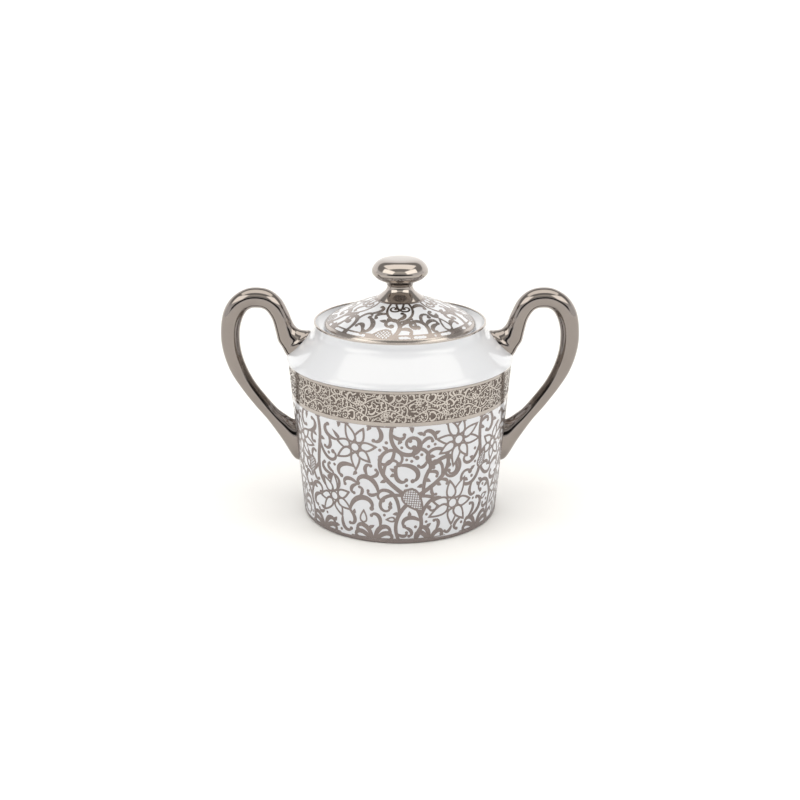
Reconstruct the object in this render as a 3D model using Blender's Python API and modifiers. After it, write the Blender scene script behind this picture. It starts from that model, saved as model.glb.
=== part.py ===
"""A lidded sugar bowl in glazed porcelain with platinum decoration and two loop handles.

Metres, +Z up. The origin is the centre of the foot, on the surface that the bowl stands on. The handles
lie along X and the front faces -Y. Profiles are written in millimetres as (radius, height).
"""

import math

import bmesh
import bpy
import mathutils

MM = 0.001
TURN_STEPS = 48

# Driving dimensions, in millimetres.
GAP = 0.3
SKIN = 0.4
WALL = 3.4
BASE_RADIUS = 37.07
SHOULDER_RADIUS = 42.0
BASE_HEIGHT = 0.6
SHOULDER_HEIGHT = 60.1
BASE_LINE = (0.6, 1.4)
TRANSFER = (1.7, 46.7)
ETCHED_BAND = (47.0, 60.0)
FOOT_OUTER = 36.2
FOOT_INNER = 32.4
FLOOR_UNDERSIDE = 1.6
FLOOR_TOP = 5.0
MOUTH_RADIUS = 32.13
MOUTH_HEIGHT = 74.64
THROAT_RADIUS = 26.0
SEAT_HEIGHT = 71.9
SEAT_RADIUS = 28.9
FLANGE_RADIUS = 25.3
FLANGE_BOTTOM = 66.2
COLLAR_RADIUS = 8.8
INSIDE_TOP = 58.0
LINE_DEPTH = 0.8
LINE_HEIGHT = 0.44
EASE = 0.1
CHAMFER = 0.4
KNOB_SOCKET = 0.6
SEAM_HALF = 0.15
CUTTER_MARGIN = 10.0
RECESS = GAP + SKIN

# The bowl's outer skin over its shoulder, from the mouth down.
SHOULDER = [
    (32.5, 72.0),
    (33.0, 70.9),
    (34.0, 69.5),
    (37.4, 66.2),
    (40.4, 63.3),
    (41.5, 62.4),
    (42.2, 61.5),
    (42.4, 60.9),
]

# The lid's outer skin, from its edge up to the collar round the knob's foot.
LID_EDGE = [(28.3, 72.9), (28.3, 73.5), (28.1, 74.2), (27.2, 75.3)]
LID_DOME = [
    (27.0, 75.5),
    (25.2, 76.6),
    (22.5, 77.8),
    (19.0, 79.15),
    (15.0, 80.7),
    (12.0, 81.7),
    (9.6, 82.7),
    (COLLAR_RADIUS, 83.1),
]
KNOB = [
    (0.0, 97.9),
    (3.2, 97.8),
    (6.0, 97.2),
    (8.3, 96.1),
    (9.8, 94.7),
    (10.35, 93.2),
    (9.9, 91.8),
    (8.6, 90.6),
    (6.8, 89.7),
    (5.4, 88.9),
    (4.75, 87.8),
    (4.9, 86.8),
    (5.6, 85.7),
    (6.8, 84.7),
    (7.9, 83.9),
    (8.5, 83.4),
]

# Handle stations in millimetres: the outside rail (x, z), the finger-side rail (x, z), and half the depth.
# The first and last stations are inside the bowl's wall, and the handle is trimmed to the wall.
HANDLE = [
    ((32.1, 68.7), (41.0, 59.2), 4.5),
    ((34.6, 69.9), (43.9, 63.0), 4.2),
    ((37.9, 70.9), (45.7, 66.5), 3.9),
    ((39.9, 73.2), (46.5, 70.2), 3.8),
    ((41.6, 77.6), (47.6, 74.6), 3.8),
    ((44.1, 82.4), (49.3, 77.6), 3.9),
    ((48.0, 85.7), (51.0, 78.9), 4.0),
    ((52.7, 86.8), (53.1, 79.2), 4.0),
    ((57.6, 86.1), (55.2, 79.0), 4.0),
    ((62.5, 82.9), (57.2, 77.6), 3.9),
    ((65.7, 77.6), (58.9, 74.4), 3.8),
    ((67.0, 70.0), (59.9, 69.8), 3.7),
    ((66.5, 62.6), (59.8, 63.5), 3.5),
    ((64.1, 54.8), (58.2, 57.1), 3.2),
    ((60.2, 48.0), (55.2, 50.7), 3.0),
    ((55.2, 41.0), (51.0, 44.7), 2.9),
    ((50.4, 35.0), (46.8, 39.6), 3.1),
    ((45.2, 27.2), (43.6, 37.0), 3.6),
    ((40.6, 19.6), (41.2, 35.4), 4.3),
    ((37.0, 18.6), (38.6, 34.8), 4.3),
]
HANDLE_STEPS = 3
HANDLE_SIDES = 12


def clear_scene():
    for old in list(bpy.data.objects):
        bpy.data.objects.remove(old, do_unlink=True)


def new_collection(name):
    collection = bpy.data.collections.new(name)
    bpy.context.scene.collection.children.link(collection)
    return collection


def material(name, colour, roughness, metallic):
    made = bpy.data.materials.new(name)
    made.use_nodes = True
    shader = made.node_tree.nodes["Principled BSDF"]
    shader.inputs["Base Color"].default_value = (*colour, 1.0)
    shader.inputs["Roughness"].default_value = roughness
    shader.inputs["Metallic"].default_value = metallic
    return made


def drum_radius(height):
    """The decorated outer radius of the drum, which widens steadily from the foot to the shoulder."""
    share = (height - BASE_HEIGHT) / (SHOULDER_HEIGHT - BASE_HEIGHT)
    return BASE_RADIUS + (SHOULDER_RADIUS - BASE_RADIUS) * share


def offset(profile, outward):
    """A profile that runs away from the axis and down, moved square to itself by this much."""
    moved = []
    for index, point in enumerate(profile):
        before = mathutils.Vector(profile[max(index - 1, 0)])
        after = mathutils.Vector(profile[min(index + 1, len(profile) - 1)])
        along = (after - before).normalized()
        moved.append((point[0] - along.y * outward, point[1] + along.x * outward))
    return moved


def turned(name, profile, closed, paint, collection):
    """A solid of revolution about Z. An open profile starts and ends on the axis."""
    mesh = bpy.data.meshes.new(name)
    points = [(radius * MM, 0.0, height * MM) for radius, height in profile]
    edges = [(index, index + 1) for index in range(len(points) - 1)]
    if closed:
        edges.append((len(points) - 1, 0))
    mesh.from_pydata(points, edges, [])
    solid = bpy.data.objects.new(name, mesh)
    solid.data.materials.append(paint)
    collection.objects.link(solid)
    screw = solid.modifiers.new("Turn", "SCREW")
    screw.steps = TURN_STEPS
    screw.render_steps = TURN_STEPS
    screw.use_merge_vertices = True
    screw.merge_threshold = 1e-5
    screw.use_smooth_shade = True
    return solid


def sleeve_profile(low, high):
    """A thin ring on the drum, between two heights."""
    return [
        (drum_radius(high), high),
        (drum_radius(low), low),
        (drum_radius(low) - SKIN, low),
        (drum_radius(high) - SKIN, high),
    ]


def skin_profile(outside):
    """A thin dome skin from its outside line, which runs outwards from the middle down to the edge."""
    return outside + offset(outside, -SKIN)[::-1]


def smooth_between(stations, index, share):
    """Catmull-Rom interpolation of a list of vectors, at a share of the way from index to index + 1."""
    first = stations[max(index - 1, 0)]
    second = stations[index]
    third = stations[index + 1]
    fourth = stations[min(index + 2, len(stations) - 1)]
    squared = share * share
    cubed = squared * share
    return (
        second * 2.0
        + (third - first) * share
        + (first * 2.0 - second * 5.0 + third * 4.0 - fourth) * squared
        + (second * 3.0 - first - third * 3.0 + fourth) * cubed
    ) * 0.5


def handle_rings(grow):
    """The handle's oval sections as lists of points, each section grown by a clearance."""
    outside = [mathutils.Vector(station[0]) for station in HANDLE]
    finger = [mathutils.Vector(station[1]) for station in HANDLE]
    depth = [mathutils.Vector((station[2], 0.0)) for station in HANDLE]
    rings = []
    for index in range(len(HANDLE) - 1):
        steps = HANDLE_STEPS + (index == len(HANDLE) - 2)
        for step in range(steps):
            share = step / HANDLE_STEPS
            outer = smooth_between(outside, index, share)
            inner = smooth_between(finger, index, share)
            half_depth = smooth_between(depth, index, share).x + grow
            middle = (outer + inner) / 2.0
            half = (outer - inner) / 2.0
            half += half.normalized() * grow
            ring = []
            for side in range(HANDLE_SIDES):
                turn = mathutils.Matrix.Rotation(math.tau * side / HANDLE_SIDES, 2)
                unit = turn @ mathutils.Vector((1.0, 0.0))
                point = middle + half * unit.x
                ring.append((point.x * MM, unit.y * half_depth * MM, point.y * MM))
            rings.append(ring)
    return rings


def handle_solid(name, grow, paint, collection):
    """The handle as a loft through its oval sections, on the +X side, with both ends closed."""
    mesh = bpy.data.meshes.new(name)
    shape = bmesh.new()
    rings = [[shape.verts.new(point) for point in ring] for ring in handle_rings(grow)]
    for near, far in zip(rings, rings[1:]):
        for side in range(HANDLE_SIDES):
            after = (side + 1) % HANDLE_SIDES
            shape.faces.new((near[side], near[after], far[after], far[side]))
    shape.faces.new(rings[0])
    shape.faces.new(rings[-1])
    bmesh.ops.recalc_face_normals(shape, faces=shape.faces)
    shape.to_mesh(mesh)
    shape.free()
    mesh.shade_smooth()
    mesh.set_sharp_from_angle(angle=0.9)
    mesh.materials.append(paint)
    solid = bpy.data.objects.new(name, mesh)
    collection.objects.link(solid)
    return solid


def hide(cutter):
    cutter.hide_render = True
    cutter.display_type = "WIRE"


def cut(solid, cutter):
    boolean = solid.modifiers.new("Cut " + cutter.name, "BOOLEAN")
    boolean.operation = "DIFFERENCE"
    boolean.solver = "EXACT"
    boolean.object = cutter


def box_cutter(name, low, high, collection):
    bpy.ops.mesh.primitive_cube_add(size=1.0)
    cutter = bpy.context.active_object
    cutter.name = name
    cutter.location = [(a + b) / 2.0 * MM for a, b in zip(low, high)]
    cutter.scale = [(b - a) * MM for a, b in zip(low, high)]
    for owner in list(cutter.users_collection):
        owner.objects.unlink(cutter)
    collection.objects.link(cutter)
    hide(cutter)
    return cutter


def shell_profile():
    """The bowl's casting, from the middle of its floor up the inside, over the mouth and down the outside."""
    inside_top = drum_radius(INSIDE_TOP) - WALL
    inside_foot = drum_radius(FLOOR_TOP) - WALL
    ledge = MOUTH_HEIGHT - LINE_HEIGHT - GAP
    shelf = SHOULDER_HEIGHT + 0.2
    inside = [
        (0.0, FLOOR_TOP),
        (inside_foot - 6.0, FLOOR_TOP),
        (inside_foot - 3.0, FLOOR_TOP + 0.8),
        (inside_foot - 0.8, FLOOR_TOP + 3.0),
        (inside_foot + 0.2, FLOOR_TOP + 6.0),
        (inside_top, INSIDE_TOP),
        (inside_top - 0.5, 60.6),
        (36.6, 62.8),
        (31.8, 67.8),
        (30.2, 69.1),
        (26.8, 69.4),
        (THROAT_RADIUS, 70.0),
        (THROAT_RADIUS, SEAT_HEIGHT - CHAMFER),
        (THROAT_RADIUS + CHAMFER, SEAT_HEIGHT),
        (SEAT_RADIUS, SEAT_HEIGHT),
        (29.7, 72.2),
        (30.6, 72.9),
        (31.2, ledge),
    ]
    neck = [(32.2, ledge), (32.3, 73.0)]
    drum = [
        (42.3, shelf),
        (drum_radius(SHOULDER_HEIGHT) - RECESS, shelf),
        (drum_radius(BASE_HEIGHT) - RECESS, BASE_HEIGHT - GAP),
        (BASE_RADIUS - EASE, BASE_HEIGHT - GAP),
    ]
    foot = [
        (FOOT_OUTER, 0.0),
        (FOOT_INNER, 0.0),
        (FOOT_INNER - 0.5, CHAMFER),
        (FOOT_INNER - 1.2, FLOOR_UNDERSIDE),
        (0.0, FLOOR_UNDERSIDE),
    ]
    return inside + neck + SHOULDER + drum + foot


def lid_profile():
    """The lid's casting: its dome under the decoration, its edge, the flange, and its hollow underside."""
    dome = offset(LID_DOME[::-1], -RECESS)
    edge = offset(LID_EDGE[::-1], -RECESS)
    top = dome[0][1]
    return (
        [(0.0, top)]
        + dome
        + edge[1:]
        + [
            (edge[-1][0], SEAT_HEIGHT + GAP),
            (FLANGE_RADIUS + 0.5, SEAT_HEIGHT + GAP),
            (FLANGE_RADIUS, SEAT_HEIGHT - 0.2),
            (FLANGE_RADIUS, FLANGE_BOTTOM + CHAMFER),
            (FLANGE_RADIUS - CHAMFER, FLANGE_BOTTOM),
            (FLANGE_RADIUS - 1.7, FLANGE_BOTTOM),
            (FLANGE_RADIUS - 2.1, FLANGE_BOTTOM + CHAMFER),
            (FLANGE_RADIUS - 2.2, SEAT_HEIGHT + 0.6),
            (FLANGE_RADIUS - 3.4, 74.2),
            (18.0, 76.3),
            (12.0, 78.7),
            (6.0, 79.7),
            (0.0, 79.9),
        ]
    )


def mouth_line_profile():
    """The platinum line on the mouth's lip, with both upper edges eased."""
    bottom = MOUTH_HEIGHT - LINE_HEIGHT
    inner = MOUTH_RADIUS - LINE_DEPTH
    return [
        (MOUTH_RADIUS - EASE, MOUTH_HEIGHT),
        (MOUTH_RADIUS, MOUTH_HEIGHT - EASE),
        (MOUTH_RADIUS, bottom),
        (inner, bottom),
        (inner, MOUTH_HEIGHT - EASE),
        (inner + EASE, MOUTH_HEIGHT),
    ]


def trim_profile():
    """The wall that the handles are trimmed to: the bowl's outside with the clearance added."""
    above = MOUTH_HEIGHT + 1.0
    return (
        [(0.0, above), (31.0, above)]
        + offset(SHOULDER, GAP)
        + [
            (SHOULDER[-1][0] + GAP, SHOULDER_HEIGHT),
            (drum_radius(TRANSFER[1]) - SKIN, TRANSFER[1]),
            (drum_radius(TRANSFER[0]) - SKIN, TRANSFER[0]),
            (0.0, TRANSFER[0]),
        ]
    )


def main():
    clear_scene()
    parts = new_collection("sugar_bowl")
    cutters = new_collection("cutters")

    porcelain = (0.86, 0.87, 0.89)
    platinum = (0.55, 0.52, 0.49)
    white_glaze = material("white_glaze", porcelain, 0.08, 0.0)
    lid_glaze = material("lid_glaze", porcelain, 0.08, 0.0)
    front_print = material("front_print", platinum, 0.25, 0.9)
    back_print = material("back_print", platinum, 0.25, 0.9)
    lid_print = material("lid_print", platinum, 0.22, 0.9)
    etched = material("etched_platinum", (0.48, 0.45, 0.42), 0.38, 1.0)
    mouth_platinum = material("mouth_platinum", platinum, 0.15, 1.0)
    base_platinum = material("base_platinum", platinum, 0.18, 1.0)
    edge_platinum = material("edge_platinum", platinum, 0.15, 1.0)
    knob_platinum = material("knob_platinum", platinum, 0.12, 1.0)
    left_platinum = material("left_platinum", platinum, 0.12, 1.0)
    right_platinum = material("right_platinum", platinum, 0.12, 1.0)
    guide = material("guide", (0.5, 0.5, 0.5), 0.5, 0.0)

    turned("bowl_shell", shell_profile(), False, white_glaze, parts)
    turned("etched_band", sleeve_profile(*ETCHED_BAND), True, etched, parts)
    turned("mouth_line", mouth_line_profile(), True, mouth_platinum, parts)
    turned("base_line", sleeve_profile(*BASE_LINE), True, base_platinum, parts)

    wall = turned("wall_cutter", trim_profile(), False, guide, cutters)
    hide(wall)
    right_handle = handle_solid("right_handle", 0.0, right_platinum, parts)
    left_handle = handle_solid("left_handle", 0.0, left_platinum, parts)
    left_handle.rotation_euler.z = math.pi
    cut(right_handle, wall)
    cut(left_handle, wall)

    right_root = handle_solid("right_root_cutter", GAP, guide, cutters)
    left_root = handle_solid("left_root_cutter", GAP, guide, cutters)
    left_root.rotation_euler.z = math.pi
    hide(right_root)
    hide(left_root)
    reach = SHOULDER_RADIUS + CUTTER_MARGIN
    below = TRANSFER[0] - CUTTER_MARGIN
    over = TRANSFER[1] + CUTTER_MARGIN
    behind = box_cutter("behind_cutter", (-reach, -SEAM_HALF, below), (reach, reach, over), cutters)
    before = box_cutter("before_cutter", (-reach, -reach, below), (reach, SEAM_HALF, over), cutters)
    front = turned("front_transfer", sleeve_profile(*TRANSFER), True, front_print, parts)
    back = turned("back_transfer", sleeve_profile(*TRANSFER), True, back_print, parts)
    for panel, half in ((front, behind), (back, before)):
        cut(panel, half)
        cut(panel, right_root)
        cut(panel, left_root)

    turned("lid_shell", lid_profile(), False, lid_glaze, parts)
    turned("lid_edge_band", skin_profile(LID_EDGE[::-1]), True, edge_platinum, parts)
    turned("lid_transfer", skin_profile(LID_DOME[::-1]), True, lid_print, parts)
    knob_bottom = KNOB[-1][1] - KNOB_SOCKET
    knob_foot = [(COLLAR_RADIUS - KNOB_SOCKET, knob_bottom), (0.0, knob_bottom)]
    turned("knob", KNOB + knob_foot, False, knob_platinum, parts)


main()
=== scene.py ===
"""Looks for the covered sugar bowl: white glazed porcelain with platinum scrolls, an etched band and cast handles.

Profiles and plane patterns are in millimetres and become metres where a mesh is made.
"""

import math
import random

import bmesh
import bpy
import numpy as np
from mathutils import Matrix, Vector
from mathutils.geometry import delaunay_2d_cdt


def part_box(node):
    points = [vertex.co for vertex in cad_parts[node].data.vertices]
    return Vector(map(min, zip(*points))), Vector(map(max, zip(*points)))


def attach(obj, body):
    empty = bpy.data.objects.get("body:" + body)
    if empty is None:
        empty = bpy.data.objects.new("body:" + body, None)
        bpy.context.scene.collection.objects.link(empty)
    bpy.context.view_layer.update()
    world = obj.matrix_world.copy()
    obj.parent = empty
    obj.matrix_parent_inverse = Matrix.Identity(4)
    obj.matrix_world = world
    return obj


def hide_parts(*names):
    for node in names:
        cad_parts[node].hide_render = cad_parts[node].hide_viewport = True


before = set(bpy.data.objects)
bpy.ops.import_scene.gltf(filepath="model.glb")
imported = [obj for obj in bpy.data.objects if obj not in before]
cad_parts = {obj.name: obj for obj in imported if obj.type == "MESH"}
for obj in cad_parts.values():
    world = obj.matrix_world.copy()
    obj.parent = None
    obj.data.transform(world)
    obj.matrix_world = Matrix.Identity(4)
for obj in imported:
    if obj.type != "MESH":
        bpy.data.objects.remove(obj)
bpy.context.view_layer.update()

MM = 0.001
AROUND = 192

# The bowl's driving sizes, read from the frame.
SHELL_LOW, SHELL_HIGH = [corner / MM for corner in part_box("bowl_shell")]
BAND_LOW, BAND_HIGH = [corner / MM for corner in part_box("etched_band")]
PRINT_LOW, PRINT_HIGH = [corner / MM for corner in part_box("front_transfer")]
LINE_LOW, LINE_HIGH = [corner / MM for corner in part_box("base_line")]
MOUTH_LOW, MOUTH_HIGH = [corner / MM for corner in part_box("mouth_line")]
BAND_TOP_RADIUS = BAND_HIGH.x
LINE_TOP_RADIUS = LINE_HIGH.x
MOUTH_RADIUS = MOUTH_HIGH.x
MOUTH_TOP = MOUTH_HIGH.z
TAPER = (BAND_TOP_RADIUS - LINE_TOP_RADIUS) / (BAND_HIGH.z - LINE_HIGH.z)

GLAZE_DEPTH = 0.05
ETCH_DEPTH = 0.16
BORDER = 1.35
TOP_BORDER = 1.1
SEAM = 0.28
BAND_BED = 0.35


def drum_radius(height):
    return BAND_TOP_RADIUS + (height - BAND_HIGH.z) * TAPER


# ---------------------------------------------------------------- materials


def nodes_for(name, colour, roughness, metallic):
    made = bpy.data.materials.new(name)
    made.use_nodes = True
    shader = made.node_tree.nodes["Principled BSDF"]
    shader.inputs["Base Color"].default_value = (*colour, 1.0)
    shader.inputs["Roughness"].default_value = roughness
    shader.inputs["Metallic"].default_value = metallic
    return made, made.node_tree, shader


def noise(tree, scale, detail=3.0, roughness=0.5, stretch=(1.0, 1.0, 1.0)):
    """Noise in the object's own metres, stretched along its axes."""
    place = tree.nodes.new("ShaderNodeTexCoord")
    mapping = tree.nodes.new("ShaderNodeMapping")
    mapping.inputs["Scale"].default_value = stretch
    texture = tree.nodes.new("ShaderNodeTexNoise")
    texture.inputs["Scale"].default_value = scale
    texture.inputs["Detail"].default_value = detail
    texture.inputs["Roughness"].default_value = roughness
    tree.links.new(place.outputs["Object"], mapping.inputs["Vector"])
    tree.links.new(mapping.outputs["Vector"], texture.inputs["Vector"])
    return texture.outputs["Fac"]


def spread(tree, value, low, high, start=0.3, stop=0.7):
    """A value's middle range, stretched to run from low to high."""
    reach = tree.nodes.new("ShaderNodeMapRange")
    reach.inputs["From Min"].default_value = start
    reach.inputs["From Max"].default_value = stop
    reach.inputs["To Min"].default_value = low
    reach.inputs["To Max"].default_value = high
    tree.links.new(value, reach.inputs["Value"])
    return reach.outputs["Result"]


def two_colours(tree, value, first, second):
    mix = tree.nodes.new("ShaderNodeMix")
    mix.data_type = "RGBA"
    mix.inputs["A"].default_value = (*first, 1.0)
    mix.inputs["B"].default_value = (*second, 1.0)
    tree.links.new(value, mix.inputs["Factor"])
    return mix.outputs["Result"]


def bump(tree, shader, value, strength, distance):
    node = tree.nodes.new("ShaderNodeBump")
    node.inputs["Strength"].default_value = strength
    node.inputs["Distance"].default_value = distance
    tree.links.new(value, node.inputs["Height"])
    tree.links.new(node.outputs["Normal"], shader.inputs["Normal"])


def glaze(name, colour, shade):
    """Clear glaze over porcelain: a soft body colour under a coat with a faint orange-peel wave."""
    made, tree, shader = nodes_for(name, colour, 0.32, 0.0)
    shader.inputs["Coat Weight"].default_value = 1.0
    shader.inputs["Coat Roughness"].default_value = 0.035
    shader.inputs["Coat IOR"].default_value = 1.55
    shader.inputs["IOR"].default_value = 1.5
    tone = spread(tree, noise(tree, 26.0, 0.0), 0.0, 1.0, 0.1, 0.9)
    tree.links.new(two_colours(tree, tone, colour, shade), shader.inputs["Base Color"])
    tree.links.new(spread(tree, noise(tree, 60.0, 0.0), 0.28, 0.36, 0.1, 0.9), shader.inputs["Roughness"])
    bump(tree, shader, noise(tree, 90.0, 0.0), 0.05, 0.00005)
    return made


def platinum(name, colour, shade, low, high, wave):
    """Fired platinum: mirror-like, with the faint flow and fine rubbing of a brushed and burnished film."""
    made, tree, shader = nodes_for(name, colour, 0.5 * (low + high), 1.0)
    tone = spread(tree, noise(tree, 60.0, 5.0, 0.6), 0.0, 1.0)
    tree.links.new(two_colours(tree, tone, colour, shade), shader.inputs["Base Color"])
    tree.links.new(spread(tree, noise(tree, 420.0, 4.0, 0.65), low, high), shader.inputs["Roughness"])
    bump(tree, shader, noise(tree, 150.0, 2.0), wave, 0.00005)
    return made


def shaded_etched_ground(name):
    """The bitten ground of the band: the same film over a surface made rough by acid. Its roughness and grain are
    real; its colour, darkened far below the film's, is painted shade in the sunk ground.
    """
    # These dark colours paint shade into the sunk ground.
    made, tree, shader = nodes_for(name, (0.17, 0.14, 0.125), 0.5, 1.0)
    grain = noise(tree, 3200.0, 3.0, 0.7)
    tone = spread(tree, grain, 0.0, 1.0)
    tree.links.new(two_colours(tree, tone, (0.12, 0.10, 0.09), (0.23, 0.195, 0.175)), shader.inputs["Base Color"])
    tree.links.new(spread(tree, noise(tree, 900.0), 0.42, 0.6), shader.inputs["Roughness"])
    bump(tree, shader, grain, 0.5, 0.00006)
    return made


def biscuit(name):
    """The foot ring's bare rim, ground flat and matt."""
    made, tree, shader = nodes_for(name, (0.72, 0.70, 0.67), 0.85, 0.0)
    grain = noise(tree, 1800.0, 4.0, 0.7)
    tone = spread(tree, grain, 0.0, 1.0)
    tree.links.new(two_colours(tree, tone, (0.66, 0.64, 0.61), (0.78, 0.76, 0.73)), shader.inputs["Base Color"])
    tree.links.new(spread(tree, noise(tree, 600.0), 0.75, 0.95), shader.inputs["Roughness"])
    bump(tree, shader, grain, 0.35, 0.00008)
    return made


def plain_floor(name):
    made, tree, shader = nodes_for(name, (0.94, 0.94, 0.94), 0.7, 0.0)
    shader.inputs["Specular IOR Level"].default_value = 0.3
    tree.links.new(spread(tree, noise(tree, 3.0, 2.0), 0.66, 0.74), shader.inputs["Roughness"])
    return made


# ---------------------------------------------------------------- turned shapes


def curve_through(points, steps=5):
    """A smooth line through the points, as a list of (radius, height)."""
    line = []
    vectors = [Vector(point) for point in points]
    for index in range(len(vectors) - 1):
        first = vectors[max(index - 1, 0)]
        second = vectors[index]
        third = vectors[index + 1]
        fourth = vectors[min(index + 2, len(vectors) - 1)]
        for step in range(steps):
            share = step / steps
            line.append(catmull(first, second, third, fourth, share))
    line.append(vectors[-1])
    return [tuple(point) for point in line]


def catmull(first, second, third, fourth, share):
    squared = share * share
    cubed = squared * share
    return (
        second * 2.0
        + (third - first) * share
        + (first * 2.0 - second * 5.0 + third * 4.0 - fourth) * squared
        + (second * 3.0 - first - third * 3.0 + fourth) * cubed
    ) * 0.5


def revolve(name, profile, closed, around=AROUND, sharp=0.7):
    """A turned mesh. The profile runs down its outer side. An open one starts and ends on the axis."""
    mesh = bpy.data.meshes.new(name)
    shape = bmesh.new()
    rings = []
    for radius, height in profile:
        if radius < 1e-6:
            rings.append([shape.verts.new((0.0, 0.0, height * MM))])
            continue
        ring = []
        for step in range(around):
            angle = 2.0 * math.pi * step / around
            place = (radius * math.cos(angle) * MM, radius * math.sin(angle) * MM, height * MM)
            ring.append(shape.verts.new(place))
        rings.append(ring)
    pairs = list(zip(rings, rings[1:]))
    if closed:
        pairs.append((rings[-1], rings[0]))
    for upper, lower in pairs:
        for step in range(around):
            after = (step + 1) % around
            corners = [
                upper[step % len(upper)],
                lower[step % len(lower)],
                lower[after % len(lower)],
                upper[after % len(upper)],
            ]
            corners = list(dict.fromkeys(corners))
            shape.faces.new(corners)
    shape.to_mesh(mesh)
    shape.free()
    mesh.shade_smooth()
    mesh.set_sharp_from_angle(angle=sharp)
    made = bpy.data.objects.new(name, mesh)
    bpy.context.scene.collection.objects.link(made)
    return made


def place(piece, body, slot, material, *nodes):
    piece.data.materials.append(material)
    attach(piece, body)
    if nodes:
        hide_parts(*nodes)


# ---------------------------------------------------------------- plane pattern shapes

# A shape is (outline, painted): painted True lays platinum, False leaves bare glaze. Later shapes cover
# earlier ones. Headings are in degrees, lengths in millimetres.


def walk(x, y, heading, length, bend_start, bend_end, stride=0.6):
    """A path whose bend, in degrees per millimetre, grows along it, so that it winds up into a scroll."""
    steps = max(8, int(length / stride))
    angle = math.radians(heading)
    pace = length / steps
    path = [(x, y)]
    for step in range(steps):
        share = (step + 0.5) / steps
        bend = bend_start + (bend_end - bend_start) * share * share
        angle += math.radians(bend) * pace
        x += math.cos(angle) * pace
        y += math.sin(angle) * pace
        path.append((x, y))
    return path


def ribbon(path, start, middle, end):
    """The outline of a line along the path, whose width runs from start through middle to end."""
    left = []
    right = []
    last = len(path) - 1
    for index, (x, y) in enumerate(path):
        before = path[max(index - 1, 0)]
        after = path[min(index + 1, last)]
        run = math.hypot(after[0] - before[0], after[1] - before[1]) or 1.0
        across = (-(after[1] - before[1]) / run, (after[0] - before[0]) / run)
        share = index / last
        swell = math.sin(math.pi * share)
        half = 0.5 * (start + (end - start) * share + (middle - (start + end) / 2.0) * swell)
        left.append((x + across[0] * half, y + across[1] * half))
        right.append((x - across[0] * half, y - across[1] * half))
    return left + right[::-1]


def disc(x, y, radius, sides=14):
    turn = 2.0 * math.pi / sides
    return [(x + radius * math.cos(turn * k), y + radius * math.sin(turn * k)) for k in range(sides)]


def petal(x, y, heading, length, width, fullness=0.55, sides=9):
    """A pointed leaf, widest a little past its middle, from its root at (x, y)."""
    along = (math.cos(math.radians(heading)), math.sin(math.radians(heading)))
    edge = []
    for k in range(sides + 1):
        share = k / sides
        half = 0.5 * width * math.sin(math.pi * share**fullness) ** 0.85
        edge.append((share * length, half))
    outline = edge + [(u, -v) for u, v in edge[-2:0:-1]]
    return [(x + u * along[0] - v * along[1], y + u * along[1] + v * along[0]) for u, v in outline]


def inside(outline, x, y):
    hit = False
    last = outline[-1]
    for point in outline:
        if (point[1] > y) != (last[1] > y):
            cross = (last[0] - point[0]) * (y - point[1]) / (last[1] - point[1]) + point[0]
            hit = hit != (x < cross)
        last = point
    return hit


def open_leaf(x, y, heading, length, width, line, fullness=0.62):
    """A leaf drawn as an outline round bare glaze."""
    along = math.radians(heading)
    inset = line * 1.25
    root = (x + inset * math.cos(along), y + inset * math.sin(along))
    outer = petal(x, y, heading, length, width, fullness)
    inner = petal(*root, heading, length - 2.6 * inset, width - 2.0 * line, fullness)
    return [(outer, True), (inner, False)]


def hatched_leaf(x, y, heading, length, width, line, pitch=0.9, thin=0.27):
    """An open leaf filled with fine crossed lines."""
    shapes = open_leaf(x, y, heading, length, width, line)
    inner = shapes[1][0]
    along = math.radians(heading)
    middle = (x + 0.5 * length * math.cos(along), y + 0.5 * length * math.sin(along))
    for tilt in (45.0, -45.0):
        slope = math.radians(heading + tilt)
        run = (math.cos(slope), math.sin(slope))
        count = int(length / pitch)
        for k in range(-count, count + 1):
            start = (middle[0] - run[1] * k * pitch, middle[1] + run[0] * k * pitch)
            spans = [0.1 * t for t in range(-120, 121)]
            spans = [t for t in spans if inside(inner, start[0] + run[0] * t, start[1] + run[1] * t)]
            if len(spans) > 4:
                ends = (spans[0] - 0.15, spans[-1] + 0.15)
                path = [(start[0] + run[0] * t, start[1] + run[1] * t) for t in ends]
                shapes.append((ribbon(path, thin, thin, thin), True))
    return shapes


def flower(x, y, size, petals, turn, line=0.8):
    """Open petals round an open heart, each petal a little different."""
    shapes = []
    for k in range(petals):
        heading = turn + 360.0 * k / petals + 7.0 * math.sin(3.1 * k + turn)
        along = math.radians(heading)
        root = (x + size * 0.16 * math.cos(along), y + size * 0.16 * math.sin(along))
        length = size * 0.86 * (1.0 + 0.13 * math.sin(k * 2.3 + turn))
        width = size * 0.48 * math.sqrt(6.5 / petals)
        shapes += open_leaf(*root, heading, length, width, line)
    shapes.append((disc(x, y, size * 0.19 + 0.25), True))
    shapes.append((disc(x, y, size * 0.19 - line * 0.4), False))
    return shapes


def scroll(x, y, heading, length, bend_start, bend_end, width):
    """A swelling stem that winds up and ends in a round bulb. Returns its shapes and its path."""
    path = walk(x, y, heading, length, bend_start, bend_end)
    bulb = disc(*path[-1], width * 0.6 + 0.12, 12)
    return [(ribbon(path, width * 0.85, width * 1.1, width * 0.6), True), (bulb, True)], path


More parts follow.
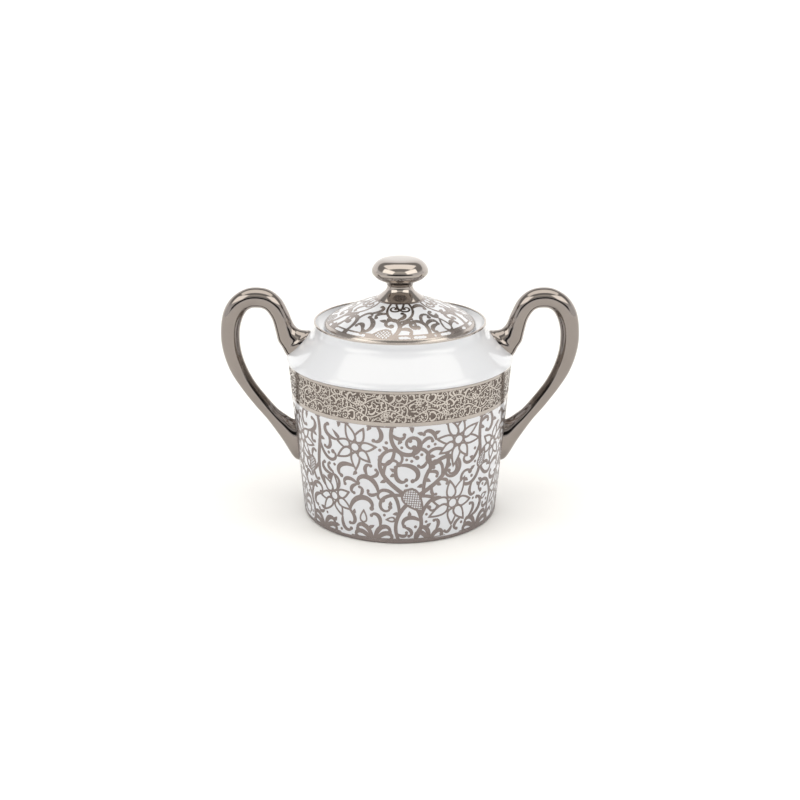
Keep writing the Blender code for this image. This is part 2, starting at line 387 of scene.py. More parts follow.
def vine(x, y, heading, length, bend_start, bend_end, width, branches):
    """A scroll with side scrolls. A branch is (share along, side, length, bend start, bend end, width)."""
    stem, path = scroll(x, y, heading, length, bend_start, bend_end, width)
    shapes = []
    for share, side, reach, opening, closing, thickness in branches:
        index = int(share * (len(path) - 1))
        before = path[max(index - 1, 0)]
        after = path[min(index + 1, len(path) - 1)]
        along = math.degrees(math.atan2(after[1] - before[1], after[0] - before[0]))
        shapes += scroll(*path[index], along + side * 28.0, reach, side * opening, side * closing, thickness)[0]
    return shapes + stem


# ---------------------------------------------------------------- filling the gaps


def edge_points(shapes, pace):
    """Points along the outlines of the painted shapes."""
    points = []
    for outline, painted in shapes:
        if not painted:
            continue
        for (ax, ay), (bx, by) in zip(outline, outline[1:] + outline[:1]):
            count = max(1, int(math.hypot(bx - ax, by - ay) / pace))
            points += [(ax + (bx - ax) * k / count, ay + (by - ay) * k / count) for k in range(count)]
    return np.array(points)


class Clearance:
    """How far each cell of a grid is from the nearest painted point, and where that point is."""

    def __init__(self, cells, turns, limit=9.0):
        self.cells = cells
        self.turns = turns
        self.far = np.full(len(cells), limit)
        self.nearest = np.zeros((len(cells), 2))

    def add(self, points):
        for turn in self.turns:
            moved = turn(points)
            low, high = self.cells.min(0) - 9.0, self.cells.max(0) + 9.0
            moved = moved[((moved > low) & (moved < high)).all(1)]
            if not len(moved):
                continue
            for start in range(0, len(self.cells), 3000):
                block = slice(start, start + 3000)
                gap = self.cells[block, None, :] - moved[None, :, :]
                away = np.hypot(gap[..., 0], gap[..., 1])
                index = away.argmin(1)
                shortest = away[np.arange(len(index)), index]
                closer = shortest < self.far[block]
                self.far[block][closer] = shortest[closer]
                self.nearest[block][closer] = moved[index[closer]]

    def shut(self, x, y, radius, value):
        near = np.hypot(self.cells[:, 0] - x, self.cells[:, 1] - y) < radius
        self.far[near] = np.minimum(self.far[near], value)


def comma(x, y, heading, length, bend_start, bend_end, width):
    """A curl with a thin root and a full belly, which hooks into a round bulb."""
    path = walk(x, y, heading, length, bend_start, bend_end)
    return [(ribbon(path, width * 0.65, width * 1.28, width * 0.6), True), (disc(*path[-1], width * 0.58, 12), True)]


def spray(x, y, count, reach, width):
    """A fan of curls from one root, each half bending outwards."""
    shapes = []
    for k in range(count):
        lean = k - (count - 1) / 2.0
        side = -1.0 if lean > 0 else 1.0
        length = reach * (1.0 - 0.13 * abs(lean))
        shapes += comma(x + lean * 0.5, y, 90.0 - lean * 26.0, length, side * 2.0, side * 480.0 / length, width)
    return shapes


def fill_gaps(clearance, border, seed, tries, least, size=1.0):
    """Small curls, leaves and dots, rooted on the nearest line, in the widest gaps first.

    size scales the motifs: 1 on the drum, smaller in the etched band.
    """
    draw = random.Random(seed)
    added = []
    for _ in range(tries):
        score = np.minimum(clearance.far, border)
        best = int(score.argmax())
        gap = float(score[best]) / size
        if gap < least:
            break
        x, y = clearance.cells[best]
        root_x, root_y = clearance.nearest[best]
        heading = math.degrees(math.atan2(y - root_y, x - root_x))
        reach = math.hypot(x - root_x, y - root_y)
        side = draw.choice((-1, 1))
        kind = draw.random()
        back = 0.35 * size
        start = (root_x - back * math.cos(math.radians(heading)), root_y - back * math.sin(math.radians(heading)))
        if gap > 1.9 and kind < 0.84:
            closing = side * min(62.0, 150.0 / gap) / size
            width = (0.95 + 0.13 * gap) * size
            new = comma(*start, heading - side * 48.0, reach * 2.45, side * 6.0 / size, closing, width)
        elif gap > 2.1 and kind < 0.93:
            new = open_leaf(*start, heading - side * 12.0, reach * 1.8, max(2.3, gap) * size, 0.75 * size)
        elif gap > 1.5:
            new = [(petal(*start, heading - side * 20.0, reach * 1.5, 1.7 * size), True)]
        else:
            new = [(disc(x, y, min(0.85, gap * 0.5) * size, 12), True)]
        added += new
        clearance.add(edge_points(new, 0.8 * size))
        clearance.shut(x, y, 0.75 * gap * size, 0.4 * size)
    return added


def grid(low_x, high_x, low_y, high_y, pace):
    across = np.arange(low_x, high_x, pace)
    up = np.arange(low_y, high_y, pace)
    return np.stack(np.meshgrid(across, up), -1).reshape(-1, 2)


# ---------------------------------------------------------------- from plane shapes to relief


def counterclockwise(outline):
    ends = zip(outline, outline[1:] + outline[:1])
    return sum(ax * by - bx * ay for (ax, ay), (bx, by) in ends) > 0.0


def painted_triangles(shapes, limits):
    """The plane's painted part, cut into triangles. limits is the outline of what may be painted."""
    points = []
    outlines = []
    painted = []
    for outline, paint in [(limits, False)] + shapes:
        base = len(points)
        points += [Vector(point) for point in outline]
        order = range(base, base + len(outline))
        outlines.append(list(order if counterclockwise(outline) else reversed(order)))
        painted.append(paint)
    made = delaunay_2d_cdt(points, [], outlines, 1, 1e-5, True)
    corners, triangles, sources = made[0], made[2], made[5]
    kept = [face for face, source in zip(triangles, sources) if 0 in source and painted[max(source)]]
    return [(corner.x, corner.y) for corner in corners], kept


def relief(name, plane, lift, sink, rows=1):
    """A thin closed sheet from painted triangles: its top, its walls, and its buried underside.

    lift and sink map a plane point, and the copy's number, to the place and normal of the sheet's top,
    and to the place of its underside.
    """
    points, triangles = plane
    used = sorted({corner for face in triangles for corner in face})
    fresh = {old: new for new, old in enumerate(used)}
    edges = {(a, b) for face in triangles for a, b in zip(face, face[1:] + face[:1])}
    rim = sorted((a, b) for a, b in edges if (b, a) not in edges)
    edge_corners = sorted({corner for pair in rim for corner in pair})
    places, faces, normals = [], [], []
    for copy in range(rows):
        tops = [lift(*points[old], copy) for old in used]
        top = {old: len(places) + new for old, new in fresh.items()}
        places += [place for place, _ in tops]
        low = {old: len(places) + new for old, new in fresh.items()}
        places += [sink(*points[old], copy) for old in used]
        high = {old: len(places) + new for new, old in enumerate(edge_corners)}
        places += [tops[fresh[old]][0] for old in edge_corners]
        for face in triangles:
            faces.append([top[corner] for corner in face])
            normals += [tops[fresh[corner]][1] for corner in face]
            faces.append([low[corner] for corner in reversed(face)])
            normals += [-tops[fresh[corner]][1] for corner in reversed(face)]
        for a, b in rim:
            wall = [high[a], low[a], low[b], high[b]]
            faces.append(wall)
            down, along = places[wall[1]] - places[wall[0]], places[wall[3]] - places[wall[0]]
            normals += [down.cross(along).normalized()] * 4
    mesh = bpy.data.meshes.new(name)
    mesh.from_pydata([tuple(point) for point in places], [], faces)
    mesh.shade_smooth()
    mesh.normals_split_custom_set([tuple(normal) for normal in normals])
    made = bpy.data.objects.new(name, mesh)
    bpy.context.scene.collection.objects.link(made)
    return made


# ---------------------------------------------------------------- the drum's transfer print

PRINT_BOTTOM = PRINT_LOW.z
PRINT_TOP = PRINT_HIGH.z
SHEET_WIDTH = 126.0
SHEET_HEIGHT = PRINT_TOP - PRINT_BOTTOM


def drum_shapes():
    """One sheet's pattern, as wide as half the drum. It repeats, so both edges of the sheet match."""
    low, high = -1.0, SHEET_HEIGHT + 1.6
    stems = [
        (0, low, 124, 60, -5.4, 25, 1.5, ((0.2, 1, 19, 2, 38, 1.3), (0.36, -1, 16, 3, 44, 1.25), (0.56, 1, 12, 4, 56, 1.1), (0.7, -1, 9, 5, 60, 1.0))),
        (5, low, 40, 54, 6.0, -22, 1.5, ((0.2, -1, 17, 2, 40, 1.3), (0.4, 1, 18, 3, 40, 1.25), (0.62, -1, 12, 4, 52, 1.1))),
        (9, 17, 100, 40, -3.0, -26, 1.4, ((0.3, 1, 16, 3, 44, 1.25), (0.5, -1, 12, 4, 50, 1.1))),
        (-42, low, 62, 56, 4.6, -24, 1.5, ((0.2, -1, 16, 2, 40, 1.3), (0.42, 1, 16, 3, 42, 1.25), (0.62, -1, 11, 4, 55, 1.1))),
        (43, low, 118, 58, -4.4, 23, 1.5, ((0.2, 1, 17, 2, 38, 1.3), (0.4, -1, 16, 3, 42, 1.25), (0.62, 1, 11, 4, 55, 1.1))),
        (63, low, 98, 54, -3.0, 24, 1.5, ((0.25, -1, 18, 2, 38, 1.3), (0.5, 1, 15, 3, 42, 1.2))),
        (-33, high, -70, 46, -3.2, 27, 1.5, ((0.25, 1, 14, 2, 46, 1.25), (0.45, -1, 15, 3, 44, 1.25), (0.65, 1, 9, 5, 58, 1.0))),
        (33, high, -112, 42, 3.5, -28, 1.5, ((0.3, -1, 14, 2, 44, 1.25), (0.5, 1, 13, 3, 46, 1.2))),
        (-2, high, -118, 34, 5.0, 34, 1.45, ((0.3, -1, 13, 3, 46, 1.2), (0.55, 1, 9, 4, 58, 1.0))),
        (-60, high, -80, 40, 4, -28, 1.5, ((0.35, -1, 13, 2, 44, 1.25), (0.6, 1, 10, 4, 52, 1.1))),
        (54, high, -80, 40, 4, -28, 1.5, ((0.35, -1, 13, 2, 44, 1.25), (0.6, 1, 10, 4, 52, 1.1))),
    ]
    blooms = [
        (-16.5, 36, 9.0, 7, 10),
        (22, 38, 9.6, 8, -12),
        (-27, 14.5, 9.0, 7, 30),
        (21, 13, 10.0, 7, 5),
        (41, 32, 8.0, 6, 20),
        (-45, 33, 8.4, 7, -10),
        (-55, 12, 8.2, 6, 15),
        (50, 11, 8.0, 6, 40),
        (62, 30, 7.6, 6, 10),
    ]
    hatched = [(1.5, 20.5, -52, 12.5, 7.2, 0.8), (-38, 28, -100, 9.5, 4.8, 0.7), (33, 24, 70, 8.5, 4.4, 0.7)]
    sprays = [(-10.5, 4, 12.0, 1.5), (11.5, 3, 9.0, 1.5), (-34.0, 4, 11.0, 1.5), (34.0, 4, 11.5, 1.5), (57.0, 3, 9.5, 1.4)]
    vines = [shape for stem in stems for shape in vine(*stem)]
    for x, count, reach, width in sprays:
        vines += spray(x, -0.6, count, reach, width)
    for edge in (0.0, SHEET_HEIGHT):
        vines.append(([(-64.0, edge - 0.45), (64.0, edge - 0.45), (64.0, edge + 0.45), (-64.0, edge + 0.45)], True))
    over = [shape for bloom in blooms for shape in flower(*bloom)]
    over += [shape for leaf in hatched for shape in hatched_leaf(*leaf)]
    half = SHEET_WIDTH / 2.0
    cells = grid(-half, half, 1.0, SHEET_HEIGHT - 0.5, 0.6)
    turns = [lambda points, step=step: points + (step * SHEET_WIDTH, 0.0) for step in (-1, 0, 1)]
    clearance = Clearance(cells, turns)
    clearance.add(edge_points(vines + over, 0.8))
    for x, y, size, _, _ in blooms:
        for step in (-1, 0, 1):
            clearance.shut(x + step * SHEET_WIDTH, y, size * 0.98, 0.0)
    border = np.minimum(cells[:, 1], SHEET_HEIGHT - cells[:, 1]) + 1.2
    return fill_gaps(clearance, border, 4, 240, 1.25, 0.88) + vines + over


def repeated(shapes, width):
    """The shapes with copies one width to each side, as far as they reach into the middle sheet."""
    half = width / 2.0
    found = []
    for outline, paint in shapes:
        for step in (-1, 0, 1):
            moved = [(x + step * width, y) for x, y in outline]
            if max(x for x, _ in moved) > -half and min(x for x, _ in moved) < half:
                found.append((moved, paint))
    return found


def on_drum(radius_at, bottom, width, turn_share, first_angle):
    """Maps a sheet's plane to the drum. A copy turns on by its share of the circle."""
    slant = math.atan(TAPER)

    def spot(x, y, copy, outward):
        angle = first_angle + turn_share * (copy + x / width)
        height = bottom + y
        radius = radius_at(height) + outward
        return Vector((radius * math.cos(angle), radius * math.sin(angle), height)) * MM

    def normal(x, copy):
        angle = first_angle + turn_share * (copy + x / width)
        flat = math.cos(slant)
        return Vector((flat * math.cos(angle), flat * math.sin(angle), -math.sin(slant)))

    return spot, normal


def drum_print(name, first_angle, plane):
    spot, normal = on_drum(drum_radius, PRINT_BOTTOM, SHEET_WIDTH, math.pi, first_angle)
    return relief(
        name,
        plane,
        lambda x, y, copy: (spot(x, y, copy, 0.0), normal(x, copy)),
        lambda x, y, copy: spot(x, y, copy, -GLAZE_DEPTH - 0.02),
    )


# ---------------------------------------------------------------- the etched band

BAND_REPEATS = 6
BAND_WIDTH = 2.0 * math.pi * drum_radius((BAND_LOW.z + BAND_HIGH.z) / 2.0) / BAND_REPEATS
ETCH_BOTTOM = BAND_LOW.z + BORDER
ETCH_TOP = BAND_HIGH.z - TOP_BORDER
ETCH_HEIGHT = ETCH_TOP - ETCH_BOTTOM


def band_shapes():
    """One repeat of the band: two waving stems with tight curls, small flowers, and the gaps filled."""
    waves = []
    for level, phase in ((0.3, 0.0), (0.7, math.pi * 0.6)):
        path = []
        for step in range(-6, 79):
            x = (step / 72.0 - 0.5) * BAND_WIDTH
            y = ETCH_HEIGHT * level + 1.5 * math.sin(2.0 * math.pi * 3.0 * step / 72.0 + phase)
            path.append((x, y))
        waves.append((ribbon(path, 0.42, 0.42, 0.42), True))
        for k in range(6):
            x, y = path[6 + 12 * k + 3]
            side = 1 if k % 2 else -1
            waves += scroll(x, y, side * 55.0, 7.0, side * 8.0, side * 95.0, 0.42)[0]
            waves += scroll(x, y, 180.0 - side * 40.0, 5.5, side * 10.0, side * 110.0, 0.38)[0]
    blooms = [(-15.0, 6.9, 2.0, 6, 12), (-5.0, 2.6, 2.1, 7, 40), (6.5, 7.2, 2.0, 6, 0), (16.5, 3.0, 2.1, 7, 22)]
    over = [shape for bloom in blooms for shape in flower(*bloom, 0.3)]
    half = BAND_WIDTH / 2.0
    cells = grid(-half, half, 0.3, ETCH_HEIGHT - 0.3, 0.25)
    turns = [lambda points, step=step: points + (step * BAND_WIDTH, 0.0) for step in (-1, 0, 1)]
    clearance = Clearance(cells, turns)
    clearance.add(edge_points(waves + over, 0.3))
    for x, y, size, _, _ in blooms:
        clearance.shut(x, y, size * 0.98, 0.0)
    border = np.minimum(cells[:, 1], ETCH_HEIGHT - cells[:, 1]) + 0.5
    return fill_gaps(clearance, border, 9, 420, 1.0, 0.4) + waves + over


def band_relief(name):
    # The copies stop a hair short of each other, so that each is a closed sheet of its own.
    half = BAND_WIDTH / 2.0 - 0.01
    limits = [(-half, 0.0), (half, 0.0), (half, ETCH_HEIGHT), (-half, ETCH_HEIGHT)]
    plane = painted_triangles(repeated(band_shapes(), BAND_WIDTH), limits)
    share = 2.0 * math.pi / BAND_REPEATS
    spot, normal = on_drum(drum_radius, ETCH_BOTTOM, BAND_WIDTH, share, -math.pi / 2.0)
    return relief(
        name,
        plane,
        lambda x, y, copy: (spot(x, y, copy, -0.02), normal(x, copy)),
        lambda x, y, copy: spot(x, y, copy, -ETCH_DEPTH - 0.02),
        BAND_REPEATS,
    )


def band_ground_profile():
    """Polished borders above and below, with the bitten ground between them a little lower."""
    low, high = BAND_LOW.z - SEAM, BAND_HIGH.z
    soft = 0.12
    return [
        (drum_radius(high) - 0.38, high),
        (drum_radius(high) - 0.1, high),
        (drum_radius(high), high - soft),
        (drum_radius(ETCH_TOP), ETCH_TOP + 0.1),
        (drum_radius(ETCH_TOP) - ETCH_DEPTH, ETCH_TOP),
        (drum_radius(ETCH_BOTTOM) - ETCH_DEPTH, ETCH_BOTTOM),
        (drum_radius(ETCH_BOTTOM), ETCH_BOTTOM - 0.1),
        (drum_radius(low), low + soft),
        (drum_radius(low) - 0.1, low),
        (drum_radius(low) - 0.38, low),
    ]


# ---------------------------------------------------------------- the lid's print

LID_DOME = [
    (26.3, 75.35),
    (25.0, 76.15),
    (22.4, 77.55),
    (19.0, 79.05),
    (15.0, 80.65),
    (12.0, 81.7),
    (9.6, 82.7),
    (8.8, 83.1),
]
LID_EDGE = [(28.3, 72.9), (28.3, 73.15), (28.1, 73.65), (27.4, 74.5)]
LID_LINE = curve_through(LID_EDGE + LID_DOME, 8)


def lid_height(radius):
    """The height of the lid's outside at a radius, read along its smooth profile."""
    for (near, high), (far, low) in zip(LID_LINE[::-1], LID_LINE[-2::-1]):
        if near <= radius <= far and far > near:
            return high + (low - high) * (radius - near) / (far - near)
    return LID_LINE[0][1] if radius > LID_LINE[0][0] else LID_LINE[-1][1]


def lid_shapes():
    """Thin curls hanging from the knob's collar and bold scrolls rising from the edge, in plan, round the lid."""
    collar, rim = 8.9, 25.7
    shapes = []
    over = []
    for k in range(5):
        turn = 72.0 * k - 90.0
        side = 1 if k % 2 else -1

        def polar(radius, angle, turn=turn):
            along = math.radians(turn + angle)
            return (radius * math.cos(along), radius * math.sin(along))

        for lean in (-1, 1):
            shapes += scroll(*polar(collar - 0.6, 9 * lean), turn + 6 * lean, 12.5, -6.0 * lean, -74.0 * lean, 0.8)[0]
            shapes += scroll(*polar(collar - 0.6, 17 * lean), turn + 46 * lean, 19.0, -7.0 * lean, -16.0 * lean, 0.85)[0]
        shapes += vine(*polar(rim + 1.0, -6), turn + 122, 17, 8.0, 44, 1.5, ((0.35, -1, 9, 5, 60, 1.2),))
        shapes += vine(*polar(rim + 1.0, 24), turn + 178, 16, 7.0, 46, 1.45, ((0.4, -1, 8.5, 5, 62, 1.15),))
        shapes += vine(*polar(rim + 1.0, 45), turn + 146, 17, -6.0, -46, 1.45, ((0.4, 1, 8.5, 5, 62, 1.15),))
        over += hatched_leaf(*polar(25.4, 6 * side), turn + 98 * side, 8.0, 4.4, 0.5)
    cells = grid(-rim, rim, -rim, rim, 0.6)
    away = np.hypot(cells[:, 0], cells[:, 1])
    cells = cells[(away > collar + 0.3) & (away < rim - 0.3)]
    away = np.hypot(cells[:, 0], cells[:, 1])
    clearance = Clearance(cells, [lambda points: points])
    clearance.add(edge_points(shapes + over, 0.8))
    border = np.minimum(away - collar, rim - away) + 1.0
    rings = [(disc(0.0, 0.0, 28.0, 128), True), (disc(0.0, 0.0, rim, 128), False), (disc(0.0, 0.0, 9.5, 64), True)]
    return rings + fill_gaps(clearance, border, 11, 110, 1.6) + shapes + over


def lid_print(name):
    limits = disc(0.0, 0.0, 27.45, 128)
    hole = (disc(0.0, 0.0, 8.7, 64), False)
    points, triangles = painted_triangles(lid_shapes() + [hole], limits)
    step = 0.15

    def spot(x, y, outward):
        radius = math.hypot(x, y)
        return Vector((x, y, lid_height(radius) + outward)) * MM

    def normal(x, y):
        radius = max(math.hypot(x, y), 1e-6)
        fall = (lid_height(radius + step) - lid_height(radius - step)) / (2.0 * step)
        return Vector((-fall * x / radius, -fall * y / radius, 1.0)).normalized()

    return relief(
        name,
        (points, triangles),
        lambda x, y, copy: (spot(x, y, 0.0), normal(x, y)),
        lambda x, y, copy: spot(x, y, -GLAZE_DEPTH - 0.02),
    )


# ---------------------------------------------------------------- castings


def bowl_profile():
    """The porcelain: inside, gallery, mouth, shoulder, drum just under its print, and foot."""
    sunk = GLAZE_DEPTH
    wall = 3.4
    inside_top = drum_radius(58.0) - wall
    inside_foot = drum_radius(5.0) - wall
    floor_line = curve_through(
        [
            (inside_foot - 7.0, 5.0),
            (inside_foot - 3.6, 5.7),
            (inside_foot - 1.1, 7.8),
            (inside_foot + 0.2, 11.5),
        ]
    )
    inner_shoulder = curve_through([(inside_top, 58.0), (inside_top - 0.4, 60.6), (36.6, 62.9), (31.8, 67.8), (30.2, 69.1)])
    throat = curve_through([(26.9, 69.4), (26.2, 69.7), (26.0, 70.4)])
    gallery = curve_through([(28.9, 71.9), (29.7, 72.15), (30.6, 72.85), (31.25, 73.85)])
    lip = curve_through([(31.4, 74.12), (31.75, 74.22), (32.05, 74.1), (32.13, 73.8)], 4)
    neck = curve_through(
        [
            (32.2, 73.2),
            (32.35, 72.2),
            (32.75, 71.2),
            (33.6, 70.05),
            (35.4, 68.2),
            (38.0, 65.65),
            (40.3, 63.4),
            (41.5, 62.2),
            (42.2, 61.2),
            (42.4, 60.7),
            (42.35, 60.25),
            (drum_radius(60.1) - BAND_BED, 60.08),
        ],
        6,
    )
    foot = curve_through([(drum_radius(1.2) - 0.15, 1.2), (36.8, 0.7), (36.45, 0.3), (36.2, 0.07)], 4)
    under = curve_through([(32.4, 0.06), (31.9, 0.5), (31.2, 1.45), (30.0, 1.6)], 4)
    return (
        [(0.0, 5.0)]
        + floor_line
        + inner_shoulder
        + throat
        + [(26.0, 71.5), (26.12, 71.78), (26.4, 71.9)]
        + gallery
        + lip
        + neck
        + [(drum_radius(BAND_LOW.z) - BAND_BED, BAND_LOW.z - SEAM + 0.02)]
        + [(drum_radius(height) - sunk, height) for height in (BAND_LOW.z - SEAM, 36.0, 24.0, 12.0, 4.0)]
        + foot
        + under
        + [(0.0, 1.6)]
    )


def lid_profile():
    """The lid's porcelain: dome, edge, flange and hollow underside."""
    dome = [(radius, height - GLAZE_DEPTH) for radius, height in LID_LINE[::-1]]
    dome = [(0.0, 82.6), (8.3, 82.75)] + dome[:-1]
    edge = curve_through([(28.25, 72.9), (28.0, 72.35), (27.4, 72.2)], 3)
    hollow = curve_through([(23.1, 72.5), (21.9, 74.2), (18.0, 76.3), (12.0, 78.7), (6.0, 79.7), (0.0, 79.9)])
    return (
        dome
        + edge
        + [(25.8, 72.2), (25.35, 71.9), (25.3, 71.6), (25.3, 66.7), (25.15, 66.35), (24.8, 66.2)]
        + [(23.6, 66.2), (23.3, 66.35), (23.2, 66.7)]
        + hollow
    )


def ring_profile(line, depth):
    """A thin ring whose outside is the line, which runs down. Its inside is set in by the depth."""
    return line + [(radius - depth, height) for radius, height in line[::-1]]


KNOB = [
    (0.0, 97.9),
    (4.2, 97.82),
    (6.6, 97.5),
    (8.1, 96.85),
    (9.15, 95.95),
    (9.9, 94.9),
    (10.35, 93.8),
    (10.4, 92.8),
    (9.9, 91.8),
    (8.6, 90.6),
    (6.8, 89.7),
    (5.4, 88.9),
    (4.75, 87.8),
    (4.9, 86.8),
    (5.6, 85.7),
    (6.8, 84.7),
    (7.9, 83.85),
    (8.75, 83.2),
]

# Handle stations: the outside rail (x, z), the finger-side rail (x, z), and half the depth.
HANDLE = [
    ((31.9, 68.9), (41.3, 58.9), 5.1),
    ((33.7, 70.25), (43.2, 61.8), 4.85),
    ((35.2, 70.3), (44.2, 63.9), 4.15),
    ((37.9, 70.9), (45.7, 66.5), 3.9),
    ((39.9, 73.2), (46.5, 70.2), 3.8),
    ((41.6, 77.6), (47.6, 74.6), 3.8),
    ((44.1, 82.4), (49.3, 77.6), 3.9),
    ((48.0, 85.7), (51.0, 78.9), 4.0),
    ((52.7, 86.8), (53.1, 79.2), 4.0),
    ((57.6, 86.1), (55.2, 79.0), 4.0),
    ((62.5, 82.9), (57.2, 77.6), 3.9),
    ((65.7, 77.6), (58.9, 74.4), 3.8),
    ((67.0, 70.0), (59.9, 69.8), 3.7),
    ((66.5, 62.6), (59.8, 63.5), 3.5),
    ((64.1, 54.8), (58.2, 57.1), 3.2),
    ((60.2, 48.0), (55.2, 50.7), 3.0),
    ((55.2, 41.0), (51.0, 44.7), 2.9),
    ((50.4, 35.0), (46.8, 39.6), 3.1),
    ((45.2, 27.2), (43.6, 37.0), 3.6),
    ((40.6, 19.6), (41.2, 35.4), 4.3),
    ((37.0, 18.6), (38.6, 34.8), 4.3),
]
HANDLE_STEPS = 9
HANDLE_SIDES = 48


def handle(name, turned_round):
    """A cast handle lofted through oval sections. Its ends run into the bowl's wall."""
    outside = [Vector(station[0]) for station in HANDLE]
    finger = [Vector(station[1]) for station in HANDLE]
    depth = [Vector((station[2], 0.0)) for station in HANDLE]
    shape = bmesh.new()
    rings = []
    for index in range(len(HANDLE) - 1):
        picks = [max(index - 1, 0), index, index + 1, min(index + 2, len(HANDLE) - 1)]
        for step in range(HANDLE_STEPS + (index == len(HANDLE) - 2)):
            share = step / HANDLE_STEPS
            outer = catmull(*[outside[pick] for pick in picks], share)
            inner = catmull(*[finger[pick] for pick in picks], share)
            half_depth = catmull(*[depth[pick] for pick in picks], share).x
            middle = (outer + inner) / 2.0
            half = (outer - inner) / 2.0
            ring = []
            for side in range(HANDLE_SIDES):
                angle = 2.0 * math.pi * side / HANDLE_SIDES
                spot = middle + half * math.cos(angle)
                ring.append(shape.verts.new((spot.x * MM, math.sin(angle) * half_depth * MM, spot.y * MM)))
            rings.append(ring)
    for near, far in zip(rings, rings[1:]):
        for side in range(HANDLE_SIDES):
            after = (side + 1) % HANDLE_SIDES
            shape.faces.new((near[side], near[after], far[after], far[side]))
    shape.faces.new(rings[0])
    shape.faces.new(rings[-1])
    bmesh.ops.recalc_face_normals(shape, faces=shape.faces)
    if turned_round:
        bmesh.ops.rotate(shape, verts=shape.verts, cent=(0, 0, 0), matrix=Matrix.Rotation(math.pi, 3, "Z"))
    mesh = bpy.data.meshes.new(name)
    shape.to_mesh(mesh)
    shape.free()
    mesh.shade_smooth()
    mesh.set_sharp_from_angle(angle=1.0)
    made = bpy.data.objects.new(name, mesh)
    bpy.context.scene.collection.objects.link(made)
    return made


# ---------------------------------------------------------------- the object


def build_bowl(white, film, print_film, lit_relief_film, shaded_handle_film, ground, bare):
    body = revolve("bowl_porcelain", bowl_profile(), False)
    place(body, "bowl", "white_glaze", white, "bowl_shell")

    limits = [(-SHEET_WIDTH / 2, 0), (SHEET_WIDTH / 2, 0), (SHEET_WIDTH / 2, SHEET_HEIGHT), (-SHEET_WIDTH / 2, SHEET_HEIGHT)]
    plane = painted_triangles(repeated(drum_shapes(), SHEET_WIDTH), limits)
    front = drum_print("front_scrolls", -math.pi / 2.0, plane)
    place(front, "bowl", "scroll_print", print_film, "front_transfer")
    back = drum_print("back_scrolls", math.pi / 2.0, plane)
    place(back, "bowl", "scroll_print", print_film, "back_transfer")

    band = revolve("band_ground", band_ground_profile(), True, AROUND, 0.5)
    place(band, "bowl", "etched_platinum", film, "etched_band")
    # The sunk ground takes the darkened copy of the film, which paints shade in it.
    band.data.materials.append(ground)
    for face in band.data.polygons:
        middle = face.center
        height = middle.z / MM
        depth = drum_radius(height) - math.hypot(middle.x, middle.y) / MM
        if ETCH_BOTTOM < height < ETCH_TOP and depth < 0.3:
            face.material_index = 1
    raised = band_relief("band_relief")
    # The relief takes the lighter copy of the platinum film, which paints a highlight on it.
    place(raised, "bowl", "etched_platinum", lit_relief_film)

    high = LINE_HIGH.z + 0.2
    outline = [
        (drum_radius(high) - 0.03, high),
        (drum_radius(high), high - 0.08),
        (drum_radius(LINE_LOW.z), LINE_LOW.z),
        (36.88, 0.3),
        (36.6, 0.12),
        (36.35, 0.06),
    ]
    place(revolve("base_ring", ring_profile(outline, 0.3), True), "bowl", "platinum_line", print_film, "base_line")

    top = MOUTH_TOP
    bead = curve_through(
        [(31.35, top - 0.42), (31.4, top - 0.14), (31.74, top), (32.06, top - 0.14), (32.13, top - 0.42), (32.1, top - 0.75)], 4
    )
    bead += [(31.9, top - 0.75), (31.5, top - 0.6)]
    place(revolve("mouth_ring", bead, True), "bowl", "platinum_line", film, "mouth_line")

    foot = curve_through([(36.35, 0.14), (36.1, 0.0), (34.3, 0.0), (32.5, 0.0), (32.25, 0.2)], 3)
    foot += [(32.6, 0.3), (36.0, 0.3)]
    place(revolve("foot_rim", foot, True), "bowl", "white_glaze", bare)

    # The handles take the darker copy of the platinum film, which paints shade on them.
    place(handle("right_handle_cast", False), "bowl", "polished_platinum", shaded_handle_film, "right_handle")
    place(handle("left_handle_cast", True), "bowl", "polished_platinum", shaded_handle_film, "left_handle")


def build_lid(white, film, lit_lid_print_film, lit_knob_film):
    place(revolve("lid_porcelain", lid_profile(), False), "lid", "white_glaze", white, "lid_shell")
    # The lid's print takes the lighter copy of the print film, which paints light on it.
    place(lid_print("lid_scrolls"), "lid", "scroll_print", lit_lid_print_film, "lid_transfer")
    edge = [(radius, height) for radius, height in LID_LINE[::-1] if height <= 74.5]
    place(revolve("lid_edge_ring", ring_profile(edge, 0.2), True), "lid", "platinum_line", film, "lid_edge_band")
    knob = curve_through(KNOB, 6) + [(8.6, 82.9), (0.0, 82.9)]
    # The knob takes the lighter copy of the platinum film, which paints light on it.
    place(revolve("knob_cast", knob, False), "lid", "polished_platinum", lit_knob_film, "knob")


# ---------------------------------------------------------------- floor, light and camera


def floor(material):
    bpy.ops.mesh.primitive_plane_add(size=1.0)
    sheet = bpy.context.active_object
    sheet.name = "floor"
    sheet.scale = (24.0, 24.0, 1.0)
    sheet.data.materials.append(material)


def math_node(tree, operation, first, second=None):
    node = tree.nodes.new("ShaderNodeMath")
    node.operation = operation
    tree.links.new(first, node.inputs[0])
    if isinstance(second, float):
        node.inputs[1].default_value = second
    elif second is not None:
        tree.links.new(second, node.inputs[1])
    return node.outputs[0]


def dot(tree, direction, along):
    node = tree.nodes.new("ShaderNodeVectorMath")
    node.operation = "DOT_PRODUCT"
    tree.links.new(direction, node.inputs[0])
    node.inputs[1].default_value = along
    return node.outputs["Value"]


def fade(tree, value, start, stop):
    """One below start, nothing above stop."""
    node = tree.nodes.new("ShaderNodeMapRange")
    node.interpolation_type = "SMOOTHSTEP"
    node.inputs["From Min"].default_value = start
    node.inputs["From Max"].default_value = stop
    node.inputs["To Min"].default_value = 1.0
    node.inputs["To Max"].default_value = 0.0
    tree.links.new(value, node.inputs["Value"])
    return node.outputs["Result"]


